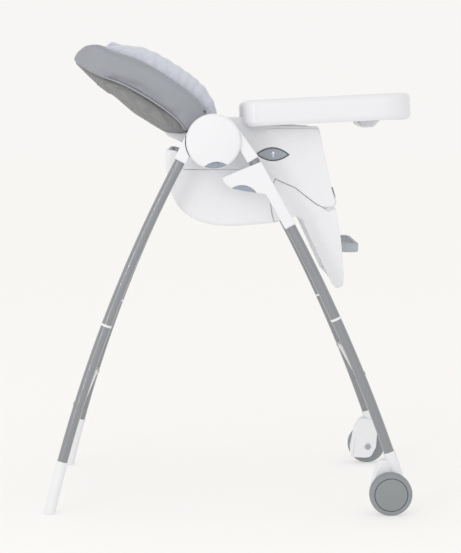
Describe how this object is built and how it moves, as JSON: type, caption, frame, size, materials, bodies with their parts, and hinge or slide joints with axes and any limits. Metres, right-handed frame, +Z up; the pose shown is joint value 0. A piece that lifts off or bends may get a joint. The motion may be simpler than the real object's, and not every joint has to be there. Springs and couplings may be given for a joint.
{
  "type": "baby high chair",
  "caption": "Folding baby high chair: bowed grey tube legs, front wheels, white seat shell on side sliders, reclining padded back, swinging calf rest, footrest and sliding tray.",
  "frame": {"origin": "on the floor, at the middle of the chair's bounding box", "axes": "+X forward towards the tray, +Y to the child's left, +Z up"},
  "size_m": [0.7976, 0.593, 1.0211],
  "materials": {
    "white_shell": "moulded white plastic, satin gloss",
    "leg_tube": "glossy grey powder coat on steel tube",
    "button_grey": "blue-grey moulded plastic, fine matt",
    "wheel_grey": "grey soft tread",
    "wheel_cap": "grey moulded plastic cap",
    "steel_pin": "plain steel",
    "grey_cover": "grey wipe-clean coated fabric",
    "back_panel": "dark grey grained plastic panel",
    "dark_plastic": "dark grey plastic",
    "liner": "pale lavender grey padded fabric",
    "webbing": "grey woven webbing",
    "footrest_grey": "grey moulded plastic"
  },
  "bodies": {
    "frame": {"front_housing_left": "white_shell", "front_housing_right": "white_shell", "hub_cover_left": "white_shell", "hub_cover_right": "white_shell", "hub_pin_left": "steel_pin", "hub_pin_right": "steel_pin", "front_upper_tube_left": "leg_tube", "front_upper_tube_right": "leg_tube", "front_collar_left": "white_shell", "front_collar_right": "white_shell", "front_lower_tube_left": "leg_tube", "front_lower_tube_right": "leg_tube", "wheel_bracket_left": "white_shell", "wheel_bracket_right": "white_shell", "wheel_axle_left": "steel_pin", "wheel_axle_right": "steel_pin", "front_cross_tube": "leg_tube"},
    "rear_legs": {"rear_housing_left": "white_shell", "rear_housing_right": "white_shell", "rear_upper_tube_left": "leg_tube", "rear_upper_tube_right": "leg_tube", "rear_collar_left": "white_shell", "rear_collar_right": "white_shell", "rear_lower_tube_left": "leg_tube", "rear_lower_tube_right": "leg_tube", "rear_foot_left": "white_shell", "rear_foot_right": "white_shell", "rear_cross_tube": "leg_tube"},
    "seat": {"height_slider_left": "white_shell", "height_slider_right": "white_shell", "seat_side_left": "white_shell", "seat_side_right": "white_shell", "seat_shell": "white_shell", "seat_pad": "liner", "crotch_strap": "webbing", "harness_buckle": "dark_plastic"},
    "backrest": {"back_shell": "back_panel", "back_cover": "grey_cover", "back_pad": "liner", "head_pillow": "liner", "shoulder_strap_left": "webbing", "shoulder_strap_right": "webbing"},
    "recline_lever": {"recline_handle": "dark_plastic"},
    "calf_rest": {"calf_panel": "white_shell"},
    "foot_board": {"footrest": "footrest_grey"},
    "tray": {"tray_base": "white_shell", "tray_insert": "white_shell"},
    "tray_release": {"tray_handle": "white_shell"},
    "wheel_left": {"wheel_tyre_left": "wheel_grey", "wheel_cap_left": "wheel_cap"},
    "fold_key_left": {"fold_button_left": "button_grey"},
    "height_key_left": {"height_button_left": "button_grey"},
    "arm_key_left": {"arm_button_left": "button_grey"},
    "calf_key_left": {"calf_button_left": "dark_plastic"},
    "wheel_right": {"wheel_tyre_right": "wheel_grey", "wheel_cap_right": "wheel_cap"},
    "fold_key_right": {"fold_button_right": "button_grey"},
    "height_key_right": {"height_button_right": "button_grey"},
    "arm_key_right": {"arm_button_right": "button_grey"},
    "calf_key_right": {"calf_button_right": "dark_plastic"}
  },
  "joints": [
    {"name": "rear_leg_fold", "type": "hinge", "parent": "frame", "child": "rear_legs", "pos_m": [-0.031, 0, 0.803], "axis": [0, -1, 0], "range_deg": [0, 42]},
    {"name": "seat_height", "type": "hinge", "parent": "frame", "child": "seat", "pos_m": [-3.01158, 0, -1.05362], "axis": [0, 1, 0], "range_deg": [0, 2.7]},
    {"name": "backrest_recline", "type": "hinge", "parent": "seat", "child": "backrest", "pos_m": [-0.075, 0, 0.75], "axis": [0, 1, 0], "range_deg": [0, 32]},
    {"name": "recline_squeeze", "type": "slide", "parent": "backrest", "child": "recline_lever", "axis": [0.3677, 0, 0.9299], "range_m": [0, 0.004], "stiffness_N_per_m": 600},
    {"name": "calf_swing", "type": "hinge", "parent": "seat", "child": "calf_rest", "pos_m": [0.221, 0, 0.672], "axis": [0, -1, 0], "range_deg": [0, 50]},
    {"name": "footrest_height", "type": "slide", "parent": "calf_rest", "child": "foot_board", "axis": [0.0748, 0, -0.9972], "range_m": [0, 0.05]},
    {"name": "tray_depth", "type": "slide", "parent": "seat", "child": "tray", "axis": [0.9988, 0, 0.0489], "range_m": [0, 0.06]},
    {"name": "tray_pull", "type": "slide", "parent": "tray", "child": "tray_release", "axis": [1, 0, 0], "range_m": [0, 0.006], "stiffness_N_per_m": 500},
    {"name": "wheel_spin_left", "type": "hinge", "parent": "frame", "child": "wheel_left", "pos_m": [0.35, 0, 0.046], "axis": [0, 1, 0], "continuous": true},
    {"name": "fold_press_left", "type": "slide", "parent": "frame", "child": "fold_key_left", "axis": [0, -1, 0], "range_m": [0, 0.0034], "stiffness_N_per_m": 800},
    {"name": "height_press_left", "type": "slide", "parent": "seat", "child": "height_key_left", "axis": [0, -1, 0], "range_m": [0, 0.0036], "stiffness_N_per_m": 800},
    {"name": "arm_press_left", "type": "slide", "parent": "seat", "child": "arm_key_left", "axis": [0, -1, 0], "range_m": [0, 0.003], "stiffness_N_per_m": 600},
    {"name": "calf_press_left", "type": "slide", "parent": "seat", "child": "calf_key_left", "axis": [0, -1, 0], "range_m": [0, 0.0026], "stiffness_N_per_m": 400},
    {"name": "wheel_spin_right", "type": "hinge", "parent": "frame", "child": "wheel_right", "pos_m": [0.35, 0, 0.046], "axis": [0, 1, 0], "continuous": true},
    {"name": "fold_press_right", "type": "slide", "parent": "frame", "child": "fold_key_right", "axis": [0, 1, 0], "range_m": [0, 0.0034], "stiffness_N_per_m": 800},
    {"name": "height_press_right", "type": "slide", "parent": "seat", "child": "height_key_right", "axis": [0, 1, 0], "range_m": [0, 0.0036], "stiffness_N_per_m": 800},
    {"name": "arm_press_right", "type": "slide", "parent": "seat", "child": "arm_key_right", "axis": [0, 1, 0], "range_m": [0, 0.003], "stiffness_N_per_m": 600},
    {"name": "calf_press_right", "type": "slide", "parent": "seat", "child": "calf_key_right", "axis": [0, 1, 0], "range_m": [0, 0.0026], "stiffness_N_per_m": 400}
  ]
}
